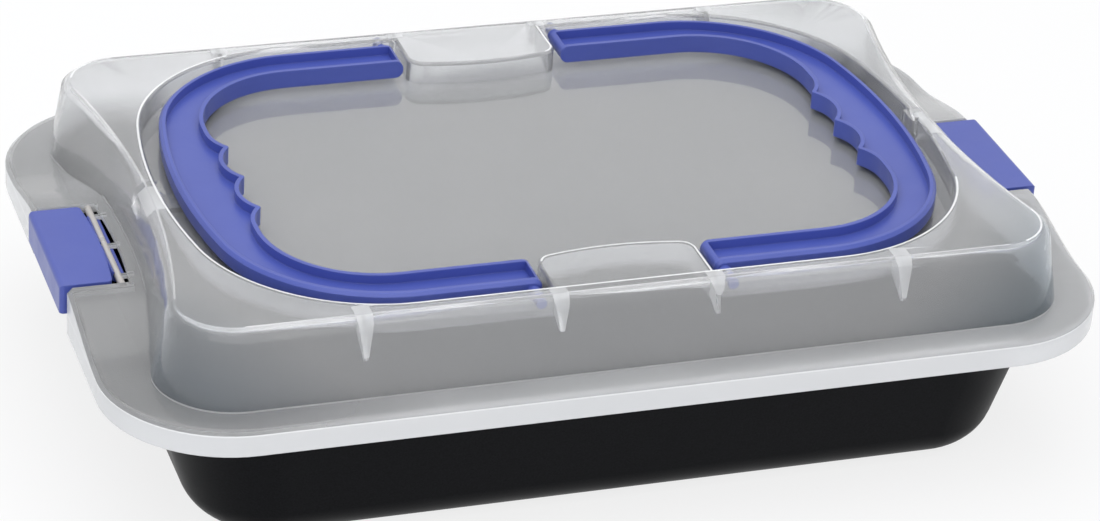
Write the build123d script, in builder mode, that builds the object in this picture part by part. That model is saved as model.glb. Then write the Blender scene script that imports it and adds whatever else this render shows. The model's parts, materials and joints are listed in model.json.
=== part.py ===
from build123d import *
import math
import os

# A baking pan with a transport lid. The lid drops over the pan's rim, a clip at each end
# hooks the pan, and two carrying handles lie folded in a well in the lid's top.
# The origin is the centre of the pan's underside. X runs along the length.

# Pan, drawn from sheet steel
sheet = 1.0
mouth_length = 403.0
mouth_depth = 280.0
mouth_corner = 54.0
pan_height = 75.0
wall_lean = 16.0
floor_round = 24.0

# Rim of the pan, with a wider raised grip at each end
grip_reach = 17.5
side_reach = 6.1
rim_corner = 52.0
bead_height = 4.5
bead_width = 4.2
grip_rise = 7.0

# Rise of the rim and of the lid's flange towards the clips, seen from the end
saddle_top = 42.0
saddle_run = 84.0
saddle_round = 110.0

# Lid skirt and flange
lid_wall = 2.0
rim_gap = 1.5
skirt_height = 12.3
flange_rise = 9.7
flange_bevel = 2.4
flange_end = 32.4
flange_side = 13.7

# Dome of the lid, with ends hollowed in plan
dome_rise = 34.8
dome_lean = 10.0
dome_hollow = 450.0
dome_corner = 33.0
dome_bevel = 3.2

# Well in the top of the dome
well_depth = 10.8
ledge_end = 8.4
ledge_side = 9.8
well_bow = 298.0
well_corner = 78.0
well_rim_bevel = 1.0

# Bosses between the ends of the handle arms
boss_length = 71.0
boss_reach = 26.0
boss_bow = 4.5
boss_corner = 8.0

# Ribs between the well and the dome, and a wider lug at each end
rib = 2.0
lug = 12.0
outer_rib_place = 118.6
inner_rib_place = 34.5
outer_rib_drop = 20.0
inner_rib_drop = 16.0
lug_drop = 13.0

# Handles
arm_gap = 5.0
bight_gap = 8.0
arm_width = 19.0
bight_width = 25.0
handle_height = 8.4
handle_proud = 0.5
handle_corner_inside = 48.0
outer_wall = 3.0
inner_wall = 2.0
channel_depth = 4.2
handle_bevel = 1.4
finger_pitch = 28.5
finger_depth = 5.7
finger_tips = 3
finger_tip_round = 1.2
handle_end_flat = 0.3
handle_end_wall = 2.5

# Handle pivots
pin_place = 42.3
pin_radius = 2.3
pin_gap = 0.3
pin_roof_gap = 0.5
pin_reach = 11.0
collar_radius = 3.0
collar_gap = 0.3

# Nib at each end of the well, with a low seat that carries the folded handle
nib_reach = 2.5
nib_drop = 1.0
seat_gap = 0.4
seat_under = 3.0

# Clips
clip_width = 68.0
clip_gap = 2.0
clip_sheet = 2.4
clip_leg = 3.5
clip_height = 13.5
clip_proud = 2.7
clip_inner_round = 5.0
clip_outer_round = 2.2
hook_gap = 0.3
hook_lip = 2.0

# Hinge of the clips: a rod moulded in the lid and open knuckles on the clip
rod_inset = 24.1
rod_radius = 1.6
rod_gap = 0.25
knuckle_wall = 1.3
knuckle_length = 24.0
knuckle_side_gap = 0.5
knuckle_opening = 138.0
knuckle_start = 46.0
slot_gap = 2.9
slot_hollow = 2.0
clip_edge_gap = 0.6
clip_edge_hollow = 2.0
clip_corner = 2.0
web_width = 2.0
web_height = 1.8
web_level = 0.3
cheek = 2.5
cheek_height = 3.4

# How far a cutting form runs past what it cuts
overrun = 1.0

# Levels and half sizes that follow from the sizes above
mouth_half_length = mouth_length / 2
mouth_half_depth = mouth_depth / 2
rim_half_length = mouth_half_length + grip_reach
rim_half_depth = mouth_half_depth + side_reach
lid_half_length = rim_half_length + rim_gap + lid_wall
lid_half_depth = rim_half_depth + rim_gap + lid_wall
lid_corner = rim_corner + rim_gap + lid_wall
flange_top = pan_height + lid_wall
lid_foot = flange_top - skirt_height
dome_top = flange_top + dome_rise
saddle_level = flange_top + flange_rise

dome_mid_length = lid_half_length - flange_end
dome_half_depth = lid_half_depth - flange_side
dome_draw = dome_rise * math.tan(math.radians(dome_lean))
top_mid_length = dome_mid_length - dome_draw
top_half_depth = dome_half_depth - dome_draw

well_mid_length = top_mid_length - ledge_end
well_half_depth = top_half_depth - ledge_side
well_floor = dome_top - well_depth

handle_mid_length = well_mid_length - bight_gap
handle_half_depth = well_half_depth - arm_gap
handle_top = dome_top + handle_proud
handle_bottom = handle_top - handle_height
pin_level = dome_top - lid_wall - pin_roof_gap - pin_radius
arm_end = pin_place - handle_height / 2

clip_top = saddle_level
clip_half_width = clip_width / 2
notch_half_width = clip_half_width + clip_gap
clip_outside = lid_half_length + clip_proud
rod_place = lid_half_length - rod_inset
rod_level = clip_top - clip_sheet
slot_place = rod_place - rod_radius - slot_gap
ends = (-1, 1)
long_sides = (-1, 1)


def sagitta(radius, half_chord):
    """Height of an arc of the radius over its chord."""
    return radius - math.sqrt(radius**2 - half_chord**2)


def outline(mid_length, half_depth, corner, bow=0.0):
    """Plan with straight sides and round corners. Its ends swell out by the bow or hollow in."""
    corner_length = mid_length - bow
    with BuildSketch() as shape:
        with BuildLine():
            Line((-corner_length, -half_depth), (corner_length, -half_depth))
            if bow:
                ThreePointArc((corner_length, -half_depth), (mid_length, 0), (corner_length, half_depth))
            else:
                Line((corner_length, -half_depth), (corner_length, half_depth))
            Line((corner_length, half_depth), (-corner_length, half_depth))
            if bow:
                ThreePointArc((-corner_length, half_depth), (-mid_length, 0), (-corner_length, -half_depth))
            else:
                Line((-corner_length, half_depth), (-corner_length, -half_depth))
        make_face()
        fillet(shape.vertices(), radius=corner)
    return shape.sketch


def leaning_block(foot, height, lean, plan):
    """Block raised from a level on a plan, with sides that lean in by an angle."""
    with BuildPart() as block:
        with BuildSketch(Plane.XY.offset(foot)):
            add(plan)
        extrude(amount=height)
        sides = block.faces().sort_by(Axis.Z)[1:-1]
        draft(sides, Plane.XY.offset(foot), lean)
    return block.part


def saddle(level, rise, foot):
    """Section across the depth of all that lies under a surface raised between the ends' ramps."""
    side = lid_half_depth + lid_wall
    with BuildSketch() as shape:
        with BuildLine():
            Polyline(
                (-side, foot),
                (-side, level),
                (-saddle_run, level),
                (-saddle_top, level + rise),
                (saddle_top, level + rise),
                (saddle_run, level),
                (side, level),
                (side, foot),
                close=True,
            )
        make_face()
        ramp_points = shape.vertices().filter_by(lambda v: abs(v.X) < side - overrun)
        fillet(ramp_points, radius=saddle_round)
    return shape.sketch


def tray(inset, top):
    """Solid form of the pan's body with leaning walls, drawn in by the sheet, up to a level."""
    lean = math.radians(wall_lean)
    drop = (pan_height - inset) * math.tan(lean) + inset / math.cos(lean)
    floor = outline(mouth_half_length - drop, mouth_half_depth - drop, mouth_corner - drop)
    with BuildPart() as body:
        add(leaning_block(inset, top - inset, -wall_lean, floor))
        fillet(body.faces().sort_by(Axis.Z)[0].edges(), radius=floor_round - inset)
    return body.part


def rim_ring(width, thickness):
    """Ring along the rim's edge, as wide and as thick as asked, following the raised grips."""
    with BuildPart() as ring:
        with BuildSketch(Plane.XY.offset(pan_height - thickness)):
            add(outline(rim_half_length, rim_half_depth, rim_corner))
            if width:
                inner = outline(rim_half_length - width, rim_half_depth - width, rim_corner - width)
                add(inner, mode=Mode.SUBTRACT)
        extrude(amount=thickness + grip_rise)
        with BuildSketch(Plane.YZ):
            add(saddle(pan_height, grip_rise, 0))
        extrude(amount=lid_half_length, both=True, mode=Mode.INTERSECT)
        with BuildSketch(Plane.YZ):
            add(saddle(pan_height - thickness, grip_rise, 0))
        extrude(amount=lid_half_length, both=True, mode=Mode.SUBTRACT)
    return ring.part


# Pan
grip_top = pan_height + grip_rise
with BuildPart() as pan:
    add(tray(0, grip_top))
    with BuildSketch(Plane.YZ):
        add(saddle(pan_height, grip_rise, -overrun))
    extrude(amount=lid_half_length, both=True, mode=Mode.INTERSECT)
    add(rim_ring(0, sheet))
    add(rim_ring(bead_width, bead_height))
    add(tray(sheet, grip_top + overrun), mode=Mode.SUBTRACT)
pan.part.label = "pan"


def dome(inset, foot):
    """Solid form of the dome with leaning sides and a bevelled top, drawn in by the wall, from a level up."""
    lean = math.radians(dome_lean)
    shift = inset / math.cos(lean) - (flange_top - foot) * math.tan(lean)
    half_depth = dome_half_depth - shift
    hollow = sagitta(dome_hollow + shift, half_depth)
    plan = outline(dome_mid_length - shift, half_depth, dome_corner - shift, -hollow)
    bevel = dome_bevel - inset * (2 - math.sqrt(2))
    with BuildPart() as block:
        add(leaning_block(foot, dome_top - inset - foot, dome_lean, plan))
        chamfer(block.faces().sort_by(Axis.Z)[-1].edges(), length=bevel)
    return block.part


def boss(side):
    """Plan of the boss at one long side of the well."""
    half_length = boss_length / 2
    reach = well_half_depth - boss_reach
    with BuildSketch() as shape:
        with BuildLine():
            Line((-half_length, side * reach), (-half_length, side * (well_half_depth + ledge_side)))
            Line(
                (-half_length, side * (well_half_depth + ledge_side)),
                (half_length, side * (well_half_depth + ledge_side)),
            )
            Line((half_length, side * (well_half_depth + ledge_side)), (half_length, side * reach))
            ThreePointArc(
                (half_length, side * reach), (0, side * (reach - boss_bow)), (-half_length, side * reach)
            )
        make_face()
        inner_corners = shape.vertices().filter_by(lambda v: abs(v.Y) < well_half_depth)
        fillet(inner_corners, radius=boss_corner)
    return shape.sketch


def well_plan():
    """Plan of the well around its two bosses."""
    with BuildSketch() as shape:
        add(outline(well_mid_length, well_half_depth, well_corner, sagitta(well_bow, well_half_depth)))
        for side in long_sides:
            add(boss(side), mode=Mode.SUBTRACT)
    return shape.sketch


def well_side(x):
    """Distance of the well's edge from the middle line, beside a place along the length."""
    centre_y = well_half_depth - well_corner
    centre_x = well_mid_length - well_bow + math.sqrt((well_bow - well_corner) ** 2 - centre_y**2)
    if x <= centre_x:
        return well_half_depth
    return centre_y + math.sqrt(well_corner**2 - (x - centre_x) ** 2)


def leaning(foot_place, z):
    """Place at a level of a wall of the dome that starts at a place on the flange."""
    return foot_place - dome_draw * (z - flange_top) / dome_rise


def gusset(near, far, far_top, drop):
    """Outline of a rib from the well's wall to the dome's wall, hung from the top."""
    tip = dome_top - drop
    with BuildSketch() as shape:
        with BuildLine():
            Polyline(
                (near, well_floor),
                (near, dome_top - lid_wall / 2),
                (far_top - dome_bevel, dome_top - lid_wall / 2),
                (far_top - lid_wall / 2, dome_top - dome_bevel),
                (far - lid_wall / 2, tip),
                close=True,
            )
        make_face()
    return shape.sketch


def finger_plan():
    """Ridges that stand into the handle's opening between the finger hollows."""
    tip_place = handle_mid_length - bight_width - finger_depth
    hollow_radius = ((finger_pitch / 2) ** 2 + finger_depth**2) / (2 * finger_depth)
    outmost = finger_tips / 2 * finger_pitch
    with BuildSketch() as shape:
        with Locations((tip_place, 0)):
            Rectangle(finger_depth + inner_wall, 2 * outmost, align=(Align.MIN, Align.CENTER))
        for count in range(finger_tips + 1):
            with Locations((tip_place + finger_depth - hollow_radius, outmost - count * finger_pitch)):
                Circle(hollow_radius, mode=Mode.SUBTRACT)
    return shape.sketch


def handle_opening(widening):
    """Plan of the opening that the handle bends around, widened for the channel's wall."""
    with BuildSketch() as shape:
        length = handle_mid_length - bight_width
        add(outline(length, handle_half_depth - arm_width, handle_corner_inside))
        add(finger_plan(), mode=Mode.SUBTRACT)
        tips = shape.vertices().filter_by(
            lambda v: abs(v.Y) < finger_tips * finger_pitch / 2 - overrun and v.X > 0
        )
        fillet(tips, radius=finger_tip_round)
        if widening:
            offset(amount=widening, kind=Kind.ARC)
    return shape.sketch


def handle_plan(outer_inset, inner_inset, end):
    """Plan of the handle at the right-hand end, less the walls, from its arm ends out."""
    half_depth = handle_half_depth - outer_inset
    corner = well_corner - arm_gap - outer_inset
    bow = sagitta(well_bow - bight_gap - outer_inset, half_depth)
    with BuildSketch() as shape:
        add(outline(handle_mid_length - outer_inset, half_depth, corner, bow))
        add(handle_opening(inner_inset), mode=Mode.SUBTRACT)
        with Locations((end, 0)):
            Rectangle(
                2 * lid_half_length, 2 * lid_half_depth, align=(Align.MAX, Align.CENTER), mode=Mode.SUBTRACT
            )
    return shape.sketch


def notch_plan(end):
    """Plan of the notch for a clip, with an inner edge that follows the hollow of the dome."""
    inner = end * (slot_place + slot_hollow)
    outer = end * (lid_half_length + lid_wall)
    with BuildSketch() as shape:
        with BuildLine():
            ThreePointArc((inner, -notch_half_width), (end * slot_place, 0), (inner, notch_half_width))
            Line((inner, notch_half_width), (outer, notch_half_width))
            Line((outer, notch_half_width), (outer, -notch_half_width))
            Line((outer, -notch_half_width), (inner, -notch_half_width))
        make_face()
    return shape.sketch


def span(place, size, end):
    """Centre of a length that starts at a place and runs on towards an end."""
    return end * (place + size / 2)


# Lid
with BuildPart() as lid_space:
    with BuildSketch(Plane.XY.offset(lid_foot - overrun)):
        skirt_space = outline(lid_half_length - lid_wall, lid_half_depth - lid_wall, lid_corner - lid_wall)
        add(skirt_space)
    extrude(amount=skirt_height + flange_rise + overrun)
    with BuildSketch(Plane.YZ):
        add(saddle(flange_top - lid_wall, flange_rise, 0))
    extrude(amount=lid_half_length, both=True, mode=Mode.INTERSECT)
    add(dome(lid_wall, flange_top - lid_wall))

with BuildPart() as lid:
    with BuildSketch(Plane.XY.offset(lid_foot)):
        add(outline(lid_half_length, lid_half_depth, lid_corner))
    extrude(amount=skirt_height + flange_rise)
    with BuildSketch(Plane.YZ):
        add(saddle(flange_top, flange_rise, 0))
    extrude(amount=lid_half_length, both=True, mode=Mode.INTERSECT)
    # The ramps' cross edges, which are centred on the middle line, stay as they are
    skirt_top_edges = lid.edges().filter_by(
        lambda e: e.center().Z > flange_top - lid_wall
        and (abs(e.center().Y) > lid_half_depth - overrun or abs(e.center().X) > overrun)
    )
    chamfer(skirt_top_edges, length=flange_bevel)
    add(dome(0, flange_top - lid_wall))
    add(lid_space.part, mode=Mode.SUBTRACT)
    # Well, sunk into the dome's top
    with BuildSketch(Plane.XY.offset(well_floor - lid_wall)):
        add(well_plan())
        offset(amount=lid_wall, kind=Kind.ARC)
    extrude(amount=well_depth + lid_wall)
    with BuildSketch(Plane.XY.offset(well_floor)):
        add(well_plan())
    extrude(amount=well_depth, mode=Mode.SUBTRACT)
    ledge = lid.faces().sort_by(Axis.Z)[-1]
    chamfer(ledge.inner_wires()[0].edges(), length=well_rim_bevel)
    # Ribs from the well's wall to the dome's wall
    for end in ends:
        for side in long_sides:
            for place, drop in ((outer_rib_place, outer_rib_drop), (inner_rib_place, inner_rib_drop)):
                near = well_side(place) + lid_wall / 2
                rib_plane = Plane((end * place, 0, 0), x_dir=(0, side, 0), z_dir=(side, 0, 0))
                with BuildSketch(rib_plane):
                    add(gusset(near, leaning(dome_half_depth, dome_top - drop), top_half_depth, drop))
                extrude(amount=rib / 2, both=True)
        near = well_mid_length + lid_wall / 2
        with BuildSketch(Plane((0, 0, 0), x_dir=(end, 0, 0), z_dir=(0, -end, 0))):
            far = leaning(dome_mid_length, dome_top - lug_drop)
            add(gusset(near, far, top_mid_length, lug_drop))
        extrude(amount=lug / 2, both=True)
    # Holes for the handles' pins
    hole_depth = arm_gap + 2 * lid_wall
    for end in ends:
        for side in long_sides:
            with Locations((end * pin_place, side * (handle_half_depth + hole_depth / 2), pin_level)):
                Cylinder(pin_radius + pin_gap, hole_depth, rotation=(90, 0, 0), mode=Mode.SUBTRACT)
    # Nibs on the end walls of the well, with the seats for the folded handles
    well_end = well_mid_length + lid_wall / 2
    nib_low = well_floor - lid_wall / 2
    for end in ends:
        for reach, top in (
            (nib_reach, dome_top - nib_drop),
            (bight_gap + seat_under, handle_bottom - seat_gap),
        ):
            start = well_mid_length - reach
            with Locations((span(start, well_end - start, end), 0, (nib_low + top) / 2)):
                Box(well_end - start, lug, top - nib_low)
    # Notches for the clips, each with a hinge rod across it
    for end in ends:
        with BuildSketch(Plane.XY.offset(lid_foot - overrun)):
            add(notch_plan(end))
        extrude(amount=skirt_height + flange_rise + 2 * overrun, mode=Mode.SUBTRACT)
        cheek_run = lid_half_length - flange_bevel - slot_place
        cheek_level = saddle_level - lid_wall / 2 - cheek_height / 2
        for side in long_sides:
            cheek_middle = side * (notch_half_width + cheek / 2)
            with Locations((span(slot_place, cheek_run, end), cheek_middle, cheek_level)):
                Box(cheek_run, cheek, cheek_height)
        with Locations((end * rod_place, 0, rod_level)):
            Cylinder(rod_radius, 2 * notch_half_width + cheek, rotation=(90, 0, 0))
        web_run = rod_place - slot_place + lid_wall
        for place in (-1, 0, 1):
            web_middle = place * (knuckle_length + 2 * knuckle_side_gap + web_width)
            with Locations((span(rod_place, -web_run, end), web_middle, rod_level + web_level)):
                Box(web_run, web_width, web_height)
lid.part.label = "lid"

# Handles
with BuildPart() as handle_right:
    with BuildSketch(Plane.XY.offset(handle_bottom)):
        add(handle_plan(0, 0, arm_end))
    extrude(amount=handle_height)
    end_edges = handle_right.edges().filter_by(Axis.Y).group_by(Axis.X)[0]
    fillet(end_edges, radius=handle_height / 2 - handle_end_flat)
    top_edges = handle_right.faces().sort_by(Axis.Z)[-1].edges()
    rim_edges = top_edges.filter_by(
        lambda e: abs(e.center().Y) > handle_half_depth - overrun
        or e.center().X > handle_mid_length - bight_width / 2
    )
    chamfer(rim_edges, length=handle_bevel)
    with BuildSketch(Plane.XY.offset(handle_top - channel_depth)):
        add(handle_plan(outer_wall, inner_wall, arm_end + handle_end_wall))
    extrude(amount=channel_depth, mode=Mode.SUBTRACT)
    for side in long_sides:
        pin_plane = Plane((pin_place, side * handle_half_depth, pin_level), z_dir=(0, side, 0))
        with BuildSketch(pin_plane.offset(-outer_wall / 2)):
            Circle(collar_radius)
        extrude(amount=arm_gap - collar_gap + outer_wall / 2)
        with BuildSketch(pin_plane):
            Circle(pin_radius)
        extrude(amount=pin_reach)
handle_right.part.label = "handle_right"

with BuildPart() as handle_left:
    mirror(handle_right.part, about=Plane.YZ)
handle_left.part.label = "handle_left"

# Clips
leg_outside = clip_outside - rod_place
leg_inside = leg_outside - clip_leg
lip_tip = rim_half_length + hook_gap - rod_place
leg_foot = clip_sheet - clip_height
plate_edge = rod_radius + clip_edge_gap
knuckle_inside = rod_radius + rod_gap
knuckle_outside = knuckle_inside + knuckle_wall
with BuildPart() as clip_right:
    side_plane = Plane((rod_place, clip_half_width, rod_level), x_dir=(1, 0, 0), z_dir=(0, -1, 0))
    with BuildSketch(side_plane) as section:
        with BuildLine():
            Polyline(
                (plate_edge, 0),
                (plate_edge, clip_sheet),
                (leg_outside, clip_sheet),
                (leg_outside, leg_foot),
                (leg_inside, leg_foot),
                (lip_tip, leg_foot + hook_lip),
                (leg_inside, leg_foot + 2 * hook_lip),
                (leg_inside, 0),
                close=True,
            )
        make_face()
        outer_corner = section.vertices().sort_by_distance((leg_outside, clip_sheet))[0]
        fillet(outer_corner, radius=clip_outer_round)
        inner_corner = section.vertices().sort_by_distance((leg_inside, 0))[0]
        fillet(inner_corner, radius=clip_inner_round)
    extrude(amount=clip_width)
    with BuildSketch(Plane.XY.offset(lid_foot)) as clip_plan:
        edge = rod_place + plate_edge + clip_edge_hollow
        with BuildLine():
            ThreePointArc((edge, -clip_half_width), (edge - clip_edge_hollow, 0), (edge, clip_half_width))
            Line((edge, clip_half_width), (clip_outside, clip_half_width))
            Line((clip_outside, clip_half_width), (clip_outside, -clip_half_width))
            Line((clip_outside, -clip_half_width), (edge, -clip_half_width))
        make_face()
        fillet(clip_plan.vertices(), radius=clip_corner)
    extrude(amount=2 * skirt_height + flange_rise, mode=Mode.INTERSECT)
    reach = 2 * knuckle_outside
    first = math.radians(knuckle_start)
    last = math.radians(knuckle_start + knuckle_opening)
    middle = (first + last) / 2
    knuckle_near = web_width / 2 + knuckle_side_gap
    for knuckle_edge in (-knuckle_near, knuckle_near + knuckle_length):
        knuckle_plane = Plane((rod_place, knuckle_edge, rod_level), x_dir=(1, 0, 0), z_dir=(0, -1, 0))
        with BuildSketch(knuckle_plane):
            Circle(knuckle_outside)
            Circle(knuckle_inside, mode=Mode.SUBTRACT)
            with BuildLine():
                Polyline(
                    (0, 0),
                    (reach * math.cos(first), reach * math.sin(first)),
                    (reach * math.cos(middle), reach * math.sin(middle)),
                    (reach * math.cos(last), reach * math.sin(last)),
                    close=True,
                )
            make_face(mode=Mode.SUBTRACT)
        extrude(amount=knuckle_length)
clip_right.part.label = "clip_right"

with BuildPart() as clip_left:
    mirror(clip_right.part, about=Plane.YZ)
clip_left.part.label = "clip_left"

os.makedirs("parts", exist_ok=True)
export_step(pan.part, "parts/pan.step")
export_step(lid.part, "parts/lid.step")
export_step(handle_left.part, "parts/handle_left.step")
export_step(handle_right.part, "parts/handle_right.step")
export_step(clip_left.part, "parts/clip_left.step")
export_step(clip_right.part, "parts/clip_right.step")
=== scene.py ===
import json
import math

import bmesh
import bpy
from mathutils import Matrix, Vector
from mathutils.bvhtree import BVHTree

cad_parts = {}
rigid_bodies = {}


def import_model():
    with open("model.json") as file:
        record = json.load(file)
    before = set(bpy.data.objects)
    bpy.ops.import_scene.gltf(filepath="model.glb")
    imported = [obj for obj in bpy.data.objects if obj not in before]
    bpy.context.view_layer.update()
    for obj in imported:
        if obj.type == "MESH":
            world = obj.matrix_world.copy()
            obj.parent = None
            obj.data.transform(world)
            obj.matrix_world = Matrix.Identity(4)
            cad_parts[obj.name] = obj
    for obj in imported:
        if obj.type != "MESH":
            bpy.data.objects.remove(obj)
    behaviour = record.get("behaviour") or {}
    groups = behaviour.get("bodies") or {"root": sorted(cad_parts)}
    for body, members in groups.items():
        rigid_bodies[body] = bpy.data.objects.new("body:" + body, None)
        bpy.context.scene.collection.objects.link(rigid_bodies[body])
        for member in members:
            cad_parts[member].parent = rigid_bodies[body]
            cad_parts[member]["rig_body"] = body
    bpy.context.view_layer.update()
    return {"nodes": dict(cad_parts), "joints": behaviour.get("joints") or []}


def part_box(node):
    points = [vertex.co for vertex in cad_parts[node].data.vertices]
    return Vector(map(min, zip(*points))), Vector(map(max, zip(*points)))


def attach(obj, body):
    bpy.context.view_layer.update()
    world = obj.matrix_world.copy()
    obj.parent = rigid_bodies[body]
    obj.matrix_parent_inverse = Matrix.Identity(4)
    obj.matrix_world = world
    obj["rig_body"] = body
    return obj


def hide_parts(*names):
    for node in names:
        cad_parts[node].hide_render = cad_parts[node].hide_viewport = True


# A baking pan with a frosted lid, two blue folding handles and two blue clips.
# All lengths are metres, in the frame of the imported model.

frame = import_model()
scene = bpy.context.scene

MM = 0.001
UP = Vector((0, 0, 1))
BACK = Vector((0, 1, 0))

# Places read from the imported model
lid_low, lid_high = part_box("lid")
lid_middle = Vector((0, 0, (lid_low.z + lid_high.z) / 2))
clip_pivots = [
    Vector(joint["pos_m"]) for joint in frame["joints"] if joint["name"].startswith("clip")
]

# Camera, fitted to the lid's corners and edges in the photograph
CAMERA_AZIMUTH = math.radians(-19.655)
CAMERA_ELEVATION = math.radians(28.677)
CAMERA_ROLL = math.radians(3.7)
CAMERA_DISTANCE = 1.77146
CAMERA_SLIDE_RIGHT = 4.826 * MM
CAMERA_SLIDE_UP = -8.171 * MM
CAMERA_AIM_LEVEL = 64.7 * MM
FOCAL_PIXELS = 3954.75
PHOTO_WIDTH = 1100
SENSOR_WIDTH = 36.0

# Levels and sizes of the lid's parts
FLANGE_TOP = lid_low.z + 12.3 * MM
RAISED_TOP = FLANGE_TOP + 9.7 * MM
FLANGE_TOPS = (FLANGE_TOP, RAISED_TOP)
FLANGE_BEVEL = 2.4 * MM
DOME_BEVEL = 3.2 * MM
WELL_RIM_BEVEL = 1.0 * MM
WELL_HALF_DEPTH = 120.0 * MM
WELL_LEAST_DEPTH = 2.0 * MM
BOSS_HALF_LENGTH = 36.5 * MM
ROD_REACH = 1.75 * MM
ROD_HALF_LENGTH = 36.5 * MM

# Widths of the painted highlight lines on the lid's walls and on its top
HIGHLIGHT_LINE_WIDTH = 0.7 * MM
TOP_HIGHLIGHT_WIDTH = 0.9 * MM

# Small lengths: between points that are joined, steps off a wall and into it, the thickest rib,
# and play in a level
WELD = 0.002 * MM
LOOK_AWAY = 0.4 * MM
STEP_IN = 0.01 * MM
THIN = 2.8 * MM
LEVEL_PLAY = 0.28 * MM

# Upward share of a face's normal: the most on an upright wall, the least and most on a bevel,
# and the least on a floor. Then the least share to the right or back on the well's near left,
# beside which a painted highlight line runs.
UPRIGHT = 0.05
BEVEL_LEAST = 0.4
BEVEL_MOST = 0.93
LEVEL = 0.99
FAR_FACING = 0.2

# Milky places on the lid's top and walls where lugs and ribs are moulded on behind them
LUG_START = 176.0 * MM
LUG_SIDES = (-21.0 * MM, 0.0)
RIB_TOP_HALF_WIDTH = 3.7 * MM
RIB_TIP_HALF_WIDTH = 1.0 * MM
OUTER_RIB_PLACE = 118.6 * MM
OUTER_RIB_DROP = 17.0 * MM
INNER_RIB_PLACE = 34.5 * MM
INNER_RIB_DROPS = (15.0 * MM, 6.5 * MM)

# Inner edge of each clip's slot, eased so that the fully open clip clears it
SLOT_PLACES = (193.8 * MM, 196.0 * MM)
SLOT_HALF_WIDTH = 36.1 * MM
SLOT_FOOT = 84.0 * MM
SLOT_EASE = 0.25 * MM

# The pan's rim and the lid's underside lie in one plane, so the rim is drawn a hair lower
RIM_SINK = 0.15 * MM

# Angle up to which faces shade as one, and the radius to which hard edges shade as rounds
SMOOTH_ANGLE = 32.0
LID_SMOOTH_ANGLE = 50.0
EDGE_ROUND = 0.6 * MM
EDGE_SAMPLES = 4

# How strongly each surface bends and mirrors light
FROSTED_IOR = 1.49
BLUE_IOR = 1.48
COATING_IOR = 1.45
PLASTIC_GLOSS = 0.5
WELL_FLOOR_GLOSS = 0.8
COATING_GLOSS = 0.06

# Colours from the darker to the paler clouds: changes of the frosted plastic's paleness, with
# the share of its warmth that each channel loses, and the blue plastic and the coating
FROSTED_CHANGES = ((-0.035, -0.025, -0.010), (0.0, 0.005, 0.020))
WARM_SHARES = (0.0, 0.5, 1.0)
BLUES = ((0.058, 0.084, 0.36), (0.066, 0.096, 0.40))
BLACKS = ((0.002, 0.0022, 0.003), (0.006, 0.0065, 0.008))

# Painted shade: darker colour, way and stretch in which the lid's colour is darkened towards its
# near corners
FLANGE_SHADES = (
    ((0.58, 0.58, 0.58), (1.0, 0.35, 0.0), -225.0 * MM, -140.0 * MM),
)
DOME_SHADES = (
    ((0.58, 0.63, 0.68), (1.0, 0.6, 1.0), -178.0 * MM, -122.0 * MM),
    ((0.46, 0.53, 0.58), (-1.0, 0.6, 1.0), -178.0 * MM, -110.0 * MM),
)

# Sockets of a colour mixer: share, first colour, second colour, and what comes out
MIX_COLOUR_INPUTS = (0, 6, 7)
MIX_COLOUR_OUTPUT = 2

# Studio: a pale floor, a world that is white to the view, and two large soft lamps
FLOOR_SIZE = 12.0
FLOOR_COLOUR = (0.86, 0.86, 0.87, 1)
FLOOR_WHITE = 0.8
WORLD_COLOUR = (0.96, 0.98, 1.0, 1)
WORLD_LIGHT = 0.62
WORLD_WHITE = 1.0
LAMPS = (
    # Name, place, size, power
    ("top_light", (-0.1, 0.0, 1.5), (2.4, 1.8), 19.0),
    ("front_light", (-0.6, -1.6, 0.9), (2.2, 1.5), 9.5),
)


def set_sockets(shader, **values):
    """Sets constants straight on a shader's sockets."""
    for name, value in values.items():
        shader.inputs[name.replace("_", " ")].default_value = value


def emptied_tree(owner):
    """The node tree of a material or of the world, with nothing left in it."""
    owner.use_nodes = True
    owner.node_tree.nodes.clear()
    return owner.node_tree


def new_material(name):
    """A material with only its output and its Principled shader."""
    material = bpy.data.materials.new(name)
    tree = emptied_tree(material)
    output = tree.nodes.new("ShaderNodeOutputMaterial")
    shader = tree.nodes.new("ShaderNodeBsdfPrincipled")
    tree.links.new(shader.outputs["BSDF"], output.inputs["Surface"])
    return material, tree, shader


def noise(tree, scale, detail=3.0, roughness=0.5, stretch=(1, 1, 1)):
    """Noise in the object's own place, with features of 1 / scale metres."""
    place = tree.nodes.new("ShaderNodeTexCoord")
    spread = tree.nodes.new("ShaderNodeMapping")
    spread.inputs["Scale"].default_value = stretch
    field = tree.nodes.new("ShaderNodeTexNoise")
    field.inputs["Scale"].default_value = scale
    field.inputs["Detail"].default_value = detail
    field.inputs["Roughness"].default_value = roughness
    tree.links.new(place.outputs["Object"], spread.inputs["Vector"])
    tree.links.new(spread.outputs["Vector"], field.inputs["Vector"])
    return field.outputs["Fac"]


def between(tree, factor, low, high, start=0.3, end=0.7):
    """A value that runs from low to high as the factor runs from start to end."""
    ramp = tree.nodes.new("ShaderNodeMapRange")
    ramp.inputs["From Min"].default_value = start
    ramp.inputs["From Max"].default_value = end
    ramp.inputs["To Min"].default_value = low
    ramp.inputs["To Max"].default_value = high
    tree.links.new(factor, ramp.inputs["Value"])
    return ramp.outputs["Result"]


def tint(tree, factor, low, high, start=0.3, end=0.7):
    """A colour that runs from low to high as the factor runs from start to end."""
    ramp = tree.nodes.new("ShaderNodeValToRGB")
    for stop, position, colour in zip(ramp.color_ramp.elements, (start, end), (low, high)):
        stop.position = position
        stop.color = (*colour, 1)
    tree.links.new(factor, ramp.inputs["Fac"])
    return ramp.outputs["Color"]


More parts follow.
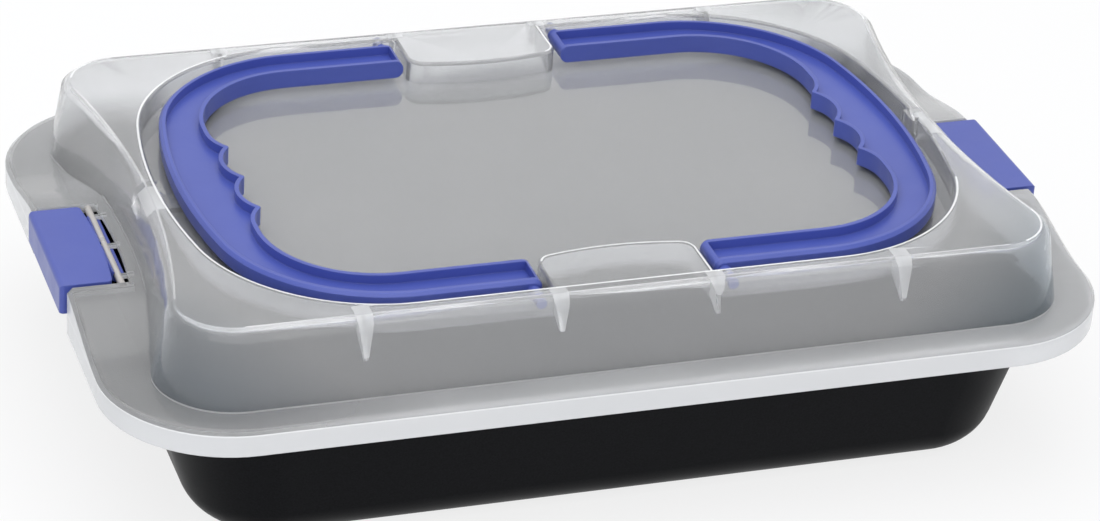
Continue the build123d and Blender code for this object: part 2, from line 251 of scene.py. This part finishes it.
def bump(tree, shader, height, strength, distance, edge_round=0.0):
    """Fine relief from a height, with softly rounded edges where asked."""
    node = tree.nodes.new("ShaderNodeBump")
    node.inputs["Strength"].default_value = strength
    node.inputs["Distance"].default_value = distance
    if edge_round:
        rounded = tree.nodes.new("ShaderNodeBevel")
        rounded.samples = EDGE_SAMPLES
        rounded.inputs["Radius"].default_value = edge_round
        tree.links.new(rounded.outputs["Normal"], node.inputs["Normal"])
    tree.links.new(height, node.inputs["Height"])
    tree.links.new(node.outputs["Normal"], shader.inputs["Normal"])


def shaded(tree, colour, shade, way, start, end):
    """The colour, darkened by a painted shade along a way: in full before the start, not past the
    end.
    """
    place = tree.nodes.new("ShaderNodeTexCoord")
    along = tree.nodes.new("ShaderNodeVectorMath")
    along.operation = "DOT_PRODUCT"
    along.inputs[1].default_value = way
    tree.links.new(place.outputs["Object"], along.inputs[0])
    darker = tree.nodes.new("ShaderNodeMix")
    darker.data_type = "RGBA"
    darker.blend_type = "MULTIPLY"
    factor, base, multiplier = (darker.inputs[index] for index in MIX_COLOUR_INPUTS)
    multiplier.default_value = (*shade, 1)
    tree.links.new(between(tree, along.outputs["Value"], 1, 0, start, end), factor)
    tree.links.new(colour, base)
    return darker.outputs[MIX_COLOUR_OUTPUT]


def frosted_plastic(name, clearness, roughness, pale, gloss=PLASTIC_GLOSS, warm=0.0, shades=()):
    """Milky moulded plastic. Clearness is the share of light that passes straight on."""
    material, tree, shader = new_material(name)
    set_sockets(shader, IOR=FROSTED_IOR, Transmission_Weight=clearness, Specular_IOR_Level=gloss)
    cloud = noise(tree, scale=9.0, detail=4.0)
    low, high = [
        [pale + change - warm * share for change, share in zip(changes, WARM_SHARES)]
        for changes in FROSTED_CHANGES
    ]
    colour = tint(tree, cloud, low, high)
    for shade in shades:
        colour = shaded(tree, colour, *shade)
    tree.links.new(colour, shader.inputs["Base Color"])
    smear = noise(tree, scale=22.0, detail=5.0, roughness=0.6, stretch=(1, 2.5, 1))
    tree.links.new(between(tree, smear, *roughness), shader.inputs["Roughness"])
    waves = noise(tree, scale=60.0, detail=2.0)
    bump(tree, shader, waves, strength=0.1, distance=0.2 * MM)
    return material


def blue_plastic():
    """Smooth moulded plastic with faint flow marks and worn gloss."""
    material, tree, shader = new_material("blue_plastic")
    set_sockets(shader, IOR=BLUE_IOR, Specular_IOR_Level=PLASTIC_GLOSS)
    flow = noise(tree, scale=16.0, detail=3.0, roughness=0.55, stretch=(1, 1, 3))
    tree.links.new(tint(tree, flow, *BLUES), shader.inputs["Base Color"])
    smear = noise(tree, scale=60.0, detail=4.0, roughness=0.6)
    tree.links.new(between(tree, smear, low=0.28, high=0.38), shader.inputs["Roughness"])
    grain = noise(tree, scale=900.0, detail=3.0)
    bump(tree, shader, grain, strength=0.08, distance=0.08 * MM, edge_round=EDGE_ROUND)
    return material


def nonstick_coating():
    """Near-black satin coating with a fine sprayed grain on sheet steel."""
    material, tree, shader = new_material("nonstick_steel")
    set_sockets(shader, IOR=COATING_IOR, Specular_IOR_Level=COATING_GLOSS)
    grain = noise(tree, scale=1100.0, detail=4.0, roughness=0.65)
    tree.links.new(tint(tree, grain, *BLACKS), shader.inputs["Base Color"])
    smear = noise(tree, scale=14.0, detail=4.0, roughness=0.6)
    tree.links.new(between(tree, smear, low=0.34, high=0.44), shader.inputs["Roughness"])
    bump(tree, shader, grain, strength=0.22, distance=0.12 * MM, edge_round=EDGE_ROUND)
    return material


def refined(node, name, smooth_angle=SMOOTH_ANGLE, sink=0.0):
    """A copy of a CAD node's surface, its faces joined so that the rounds shade smoothly.

    Where asked, its top sinks a little, while its foot stays in place.
    """
    work = bmesh.new()
    work.from_mesh(frame["nodes"][node].data)
    bmesh.ops.remove_doubles(work, verts=work.verts, dist=WELD)
    if sink:
        top = max(vertex.co.z for vertex in work.verts)
        bmesh.ops.scale(work, vec=(1, 1, 1 - sink / top), verts=work.verts)
    work.normal_update()
    mesh = bpy.data.meshes.new(name)
    work.to_mesh(mesh)
    work.free()
    for layer_name in ("custom_normal", "sharp_face"):
        layer = mesh.attributes.get(layer_name)
        if layer:
            mesh.attributes.remove(layer)
    mesh.shade_smooth()
    mesh.set_sharp_from_angle(angle=math.radians(smooth_angle))
    piece = bpy.data.objects.new(name, mesh)
    scene.collection.objects.link(piece)
    weighted = piece.modifiers.new("weighted_normals", "WEIGHTED_NORMAL")
    weighted.keep_sharp = True
    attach(piece, frame["nodes"][node]["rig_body"])
    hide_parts(node)
    return piece


def ease_slots(piece):
    """Moves the inner edges of the clips' slots a hair towards the lid's middle."""
    nearest, farthest = SLOT_PLACES
    for vertex in piece.data.vertices:
        place = vertex.co
        on_edge = nearest < abs(place.x) < farthest and abs(place.y) < SLOT_HALF_WIDTH
        if on_edge and place.z > SLOT_FOOT:
            place.x -= math.copysign(SLOT_EASE, place.x)


def near_rod(point):
    """Whether a point lies on one of the clips' hinge rods or where a web joins it."""
    return abs(point.y) < ROD_HALF_LENGTH and any(
        math.hypot(point.x - pivot.x, point.z - pivot.z) < ROD_REACH
        for pivot in clip_pivots
    )


def rib_places(side):
    """Place and drop of each rib's milky face along a long side of the lid."""
    return (
        (-OUTER_RIB_PLACE, OUTER_RIB_DROP),
        (OUTER_RIB_PLACE, OUTER_RIB_DROP),
        (side * INNER_RIB_PLACE, INNER_RIB_DROPS[0]),
        (-side * INNER_RIB_PLACE, INNER_RIB_DROPS[1]),
    )


def on_rib(point):
    """Whether a point of the lid's top or long walls lies where a rib is moulded on behind it."""
    if abs(point.y) < WELL_HALF_DEPTH:
        return False
    side = math.copysign(1, point.y)
    for place, drop in rib_places(side):
        share = (lid_high.z - point.z) / drop
        half_width = RIB_TOP_HALF_WIDTH + (RIB_TIP_HALF_WIDTH - RIB_TOP_HALF_WIDTH) * share
        if share < 1 and abs(point.x - place) < half_width:
            return True
    return False


def on_lug(point):
    """Whether a point of the lid's top lies where a lug is moulded on behind it."""
    on_top = point.z > lid_high.z - DOME_BEVEL
    return on_top and abs(point.x) > LUG_START and LUG_SIDES[0] < point.y < LUG_SIDES[1]


def outside_material(centre, normal, well_floor_level):
    """Place in the lid's materials of a face that nothing covers."""
    if abs(normal.z) < UPRIGHT and centre.z < RAISED_TOP:
        # A painted highlight line just under each flange's bevel
        below_bevel = any(0 < top - FLANGE_BEVEL - centre.z < HIGHLIGHT_LINE_WIDTH for top in FLANGE_TOPS)
        return EDGE_HIGHLIGHT if below_bevel else SKIRT
    if on_lug(centre) and normal.z > BEVEL_LEAST:
        return LUG
    if on_rib(centre) and (normal.z > BEVEL_MOST or centre.y * normal.y > 0):
        return LUG if normal.z > BEVEL_MOST else RIB_FACE
    # A painted highlight line at the foot of the walls just above each flange
    above_flange = any(0 < centre.z - top < HIGHLIGHT_LINE_WIDTH for top in FLANGE_TOPS)
    if above_flange and abs(normal.z) < BEVEL_LEAST:
        return CREASE_HIGHLIGHT
    if centre.z < RAISED_TOP + HIGHLIGHT_LINE_WIDTH and normal.z > BEVEL_LEAST:
        return FLANGE
    if abs(centre.z - well_floor_level) < LEVEL_PLAY and normal.z > BEVEL_MOST:
        return WELL_FLOOR
    return OUTSIDE


def cut(work, faces, point, direction):
    """Cuts some faces along a plane, which leaves their shape as it is."""
    parts = set(faces)
    for face in faces:
        parts.update(face.edges)
        parts.update(face.verts)
    bmesh.ops.bisect_plane(work, geom=list(parts), plane_co=point, plane_no=direction, dist=WELD)


def top_faces(work):
    """Faces of the ledge around the well and of the bosses."""
    return [
        face for face in work.faces
        if face.normal.z > BEVEL_MOST and face.calc_center_median().z > lid_high.z - WELD
    ]


def wall_faces(work, side):
    """Faces of one long side of the lid, from the raised flange's level up."""
    faces = []
    for face in work.faces:
        centre = face.calc_center_median()
        if centre.y * side > WELL_HALF_DEPTH and centre.z > RAISED_TOP:
            faces.append(face)
    return faces


def paint_top_highlights(work, highlight_mark):
    """Paints narrow highlight strips on the lid's top along its edges, and one across the near
    boss: painted highlights of rounded edges.
    """
    strips = bmesh.ops.inset_region(
        work, faces=top_faces(work), thickness=TOP_HIGHLIGHT_WIDTH, use_even_offset=True,
    )
    work.normal_update()
    for face in strips["faces"]:
        neighbours = [other for edge in face.edges for other in edge.link_faces]
        for bevel in neighbours:
            if not BEVEL_LEAST < bevel.normal.z < BEVEL_MOST:
                continue
            lowest = min(vertex.co.z for vertex in bevel.verts)
            if lowest < lid_high.z - 2 * WELL_RIM_BEVEL:
                face[highlight_mark] = CREASE_HIGHLIGHT
            elif max(bevel.normal.x, bevel.normal.y) > FAR_FACING:
                face[highlight_mark] = EDGE_HIGHLIGHT
    far_side = -WELL_HALF_DEPTH - WELL_RIM_BEVEL
    near_side = far_side - TOP_HIGHLIGHT_WIDTH
    for place in (far_side, near_side):
        cut(work, top_faces(work), (0, place, 0), BACK)
    for face in top_faces(work):
        centre = face.calc_center_median()
        if near_side < centre.y < far_side and abs(centre.x) < BOSS_HALF_LENGTH:
            face[highlight_mark] = EDGE_HIGHLIGHT


def cut_milky_places(work):
    """Cuts the lid's top and long walls along the sides of the ribs' and lugs' milky places."""
    bevel_foot = lid_high.z - DOME_BEVEL
    for place in LUG_SIDES:
        ends = [
            face for face in work.faces
            if face.normal.z > BEVEL_LEAST and face.calc_center_median().z > bevel_foot
        ]
        cut(work, ends, (0, place, 0), BACK)
    for side in (-1, 1):
        for place, drop in rib_places(side):
            for slant in (-1, 1):
                walls = wall_faces(work, side)
                top = Vector((place + slant * RIB_TOP_HALF_WIDTH, 0, lid_high.z))
                tip = Vector((place + slant * RIB_TIP_HALF_WIDTH, 0, lid_high.z - drop))
                cut(work, walls, top, (tip - top).cross(BACK).normalized())
            cut(work, walls, (0, 0, lid_high.z - drop), UP)


def floor_level(work):
    """Level of the well's floor: that of the largest level face inside the lid's top."""
    largest = 0
    level = 0
    for face in work.faces:
        height = face.calc_center_median().z
        area = face.calc_area()
        in_well = lid_middle.z < height < lid_high.z - WELL_LEAST_DEPTH
        if in_well and face.normal.z > LEVEL and area > largest:
            largest = area
            level = height
    return level


def sort_lid_faces(piece):
    """Gives each face of the lid its material: gloss outside, frosting inside, ribs, rods and
    painted highlight lines.
    """
    mesh = piece.data
    work = bmesh.new()
    work.from_mesh(mesh)
    levels = [top + HIGHLIGHT_LINE_WIDTH for top in FLANGE_TOPS]
    levels += [top - FLANGE_BEVEL - HIGHLIGHT_LINE_WIDTH for top in FLANGE_TOPS]
    levels += [FLANGE_TOP - FLANGE_BEVEL]
    for level in levels:
        cut(work, list(work.faces), (0, 0, level), UP)
    work.normal_update()
    highlight_mark = work.faces.layers.int.new("highlight_mark")
    paint_top_highlights(work, highlight_mark)
    cut_milky_places(work)
    work.faces.ensure_lookup_table()
    work.normal_update()
    tree = BVHTree.FromBMesh(work)

    def covered(face):
        start = face.calc_center_median() + face.normal * LOOK_AWAY
        return tree.ray_cast(start, UP)[0] is not None

    inside = [covered(face) for face in work.faces]
    well_floor_level = floor_level(work)
    for face in work.faces:
        centre = face.calc_center_median()
        behind = tree.ray_cast(centre - face.normal * STEP_IN, -face.normal)
        other, wall = behind[2:]
        thin = wall is not None and wall < THIN
        if face[highlight_mark]:
            face.material_index = face[highlight_mark]
        elif near_rod(centre):
            face.material_index = ROD
        elif thin and inside[face.index] and inside[other]:
            face.material_index = RIB
        elif inside[face.index]:
            on_skirt = abs(face.normal.z) < UPRIGHT and centre.z < RAISED_TOP
            face.material_index = SKIRT_INSIDE if on_skirt else INSIDE
        else:
            face.material_index = outside_material(centre, face.normal, well_floor_level)
    work.faces.layers.int.remove(highlight_mark)
    work.to_mesh(mesh)
    work.free()


def white_for_the_view(tree, shader_output, white_share):
    """Mixes in plain white where the camera, a reflection or a clear wall sees a surface."""
    path = tree.nodes.new("ShaderNodeLightPath")
    seen = path.outputs["Is Camera Ray"]
    for other_ray in ("Is Glossy Ray", "Is Transmission Ray"):
        either = tree.nodes.new("ShaderNodeMath")
        either.operation = "MAXIMUM"
        tree.links.new(seen, either.inputs[0])
        tree.links.new(path.outputs[other_ray], either.inputs[1])
        seen = either.outputs[0]
    share = tree.nodes.new("ShaderNodeMath")
    share.operation = "MULTIPLY"
    share.inputs[1].default_value = white_share
    tree.links.new(seen, share.inputs[0])
    white = tree.nodes.new("ShaderNodeEmission")
    mix = tree.nodes.new("ShaderNodeMixShader")
    tree.links.new(share.outputs[0], mix.inputs["Fac"])
    tree.links.new(shader_output, mix.inputs[1])
    tree.links.new(white.outputs["Emission"], mix.inputs[2])
    return mix.outputs["Shader"]


def pale_floor():
    """A wide floor that is nearly white to the view and keeps the pan's shadow."""
    bpy.ops.mesh.primitive_plane_add(size=FLOOR_SIZE, location=(0, 0, 0))
    floor = bpy.context.active_object
    floor.name = "studio_floor"
    material = bpy.data.materials.new("pale_floor")
    tree = emptied_tree(material)
    output = tree.nodes.new("ShaderNodeOutputMaterial")
    diffuse = tree.nodes.new("ShaderNodeBsdfDiffuse")
    diffuse.inputs["Color"].default_value = FLOOR_COLOUR
    mix = white_for_the_view(tree, diffuse.outputs["BSDF"], FLOOR_WHITE)
    tree.links.new(mix, output.inputs["Surface"])
    floor.data.materials.append(material)


def pale_world():
    """A world that is plain white to the view and a softer level as light."""
    scene.world = bpy.data.worlds.new("studio")
    tree = emptied_tree(scene.world)
    output = tree.nodes.new("ShaderNodeOutputWorld")
    light = tree.nodes.new("ShaderNodeBackground")
    light.inputs["Color"].default_value = WORLD_COLOUR
    light.inputs["Strength"].default_value = WORLD_LIGHT
    mix = white_for_the_view(tree, light.outputs["Background"], WORLD_WHITE)
    tree.links.new(mix, output.inputs["Surface"])


def soft_lamp(name, place, size, power):
    """A rectangular lamp that looks at the lid."""
    data = bpy.data.lights.new(name, "AREA")
    data.shape = "RECTANGLE"
    data.size, data.size_y = size
    data.energy = power
    lamp = bpy.data.objects.new(name, data)
    lamp.location = place
    lamp.rotation_euler = (Vector(place) - lid_middle).to_track_quat("Z", "Y").to_euler()
    scene.collection.objects.link(lamp)


def aim_camera():
    """Camera at the photograph's viewing angle."""
    cos_elevation = math.cos(CAMERA_ELEVATION)
    back = Vector((
        math.sin(CAMERA_AZIMUTH) * cos_elevation,
        -math.cos(CAMERA_AZIMUTH) * cos_elevation,
        math.sin(CAMERA_ELEVATION),
    ))
    right = (-back).cross(UP).normalized()
    above = right.cross(-back)
    place = back * CAMERA_DISTANCE + right * CAMERA_SLIDE_RIGHT + above * CAMERA_SLIDE_UP
    place.z += CAMERA_AIM_LEVEL
    axis_x = math.cos(CAMERA_ROLL) * right + math.sin(CAMERA_ROLL) * above
    axis_y = math.cos(CAMERA_ROLL) * above - math.sin(CAMERA_ROLL) * right
    data = bpy.data.cameras.new("photo_camera")
    data.sensor_fit = "HORIZONTAL"
    data.sensor_width = SENSOR_WIDTH
    data.lens = FOCAL_PIXELS * SENSOR_WIDTH / PHOTO_WIDTH
    camera = bpy.data.objects.new("photo_camera", data)
    turn = Matrix((axis_x, axis_y, back)).transposed().to_4x4()
    camera.matrix_world = Matrix.Translation(place) @ turn
    scene.collection.objects.link(camera)
    scene.camera = camera


# Pieces
blue = blue_plastic()
coating = nonstick_coating()
lid_materials = [
    # Name, share of light that passes, least and most roughness, paleness
    # The outside and the flange get a painted shade towards the lid's near corners
    frosted_plastic("frosted_outside", 0.84, (0.08, 0.16), 0.97, shades=DOME_SHADES),
    frosted_plastic("frosted_inside", 0.85, (0.14, 0.22), 0.97),
    frosted_plastic("frosted_well_floor", 0.78, (0.04, 0.08), 0.93, gloss=WELL_FLOOR_GLOSS),
    frosted_plastic("frosted_rib", 0.15, (0.20, 0.30), 0.95),
    frosted_plastic("frosted_skirt", 0.30, (0.16, 0.26), 0.88),
    frosted_plastic("frosted_skirt_inside", 0.40, (0.42, 0.55), 0.88),
    frosted_plastic("frosted_flange", 0.70, (0.12, 0.20), 0.93, shades=FLANGE_SHADES),
    # Painted highlight lines: whiter, less clear strips along the lid's edges and creases
    frosted_plastic("frosted_edge_highlight", 0.25, (0.12, 0.20), 0.97),
    frosted_plastic("frosted_crease_highlight", 0.62, (0.12, 0.20), 0.95),
    frosted_plastic("frosted_lug", 0.58, (0.16, 0.24), 0.94),
    frosted_plastic("frosted_rib_face", 0.58, (0.16, 0.24), 0.92),
    frosted_plastic("frosted_rod", 0.10, (0.25, 0.35), 0.54, warm=0.07),
]

# Their places in that order
(
    OUTSIDE, INSIDE, WELL_FLOOR, RIB, SKIRT, SKIRT_INSIDE,
    FLANGE, EDGE_HIGHLIGHT, CREASE_HIGHLIGHT, LUG, RIB_FACE, ROD,
) = range(len(lid_materials))

pan = refined("pan", "pan_shell", sink=RIM_SINK)
pan.data.materials.append(coating)

lid = refined("lid", "lid_shell", smooth_angle=LID_SMOOTH_ANGLE)
for material in lid_materials:
    lid.data.materials.append(material)
ease_slots(lid)
sort_lid_faces(lid)

for side in ("left", "right"):
    handle = refined("handle_" + side, "carry_handle_" + side)
    handle.data.materials.append(blue)
    clip = refined("clip_" + side, "end_clip_" + side)
    clip.data.materials.append(blue)

# Studio
pale_floor()
pale_world()
for lamp_values in LAMPS:
    soft_lamp(*lamp_values)
aim_camera()
scene.view_settings.view_transform = "Standard"
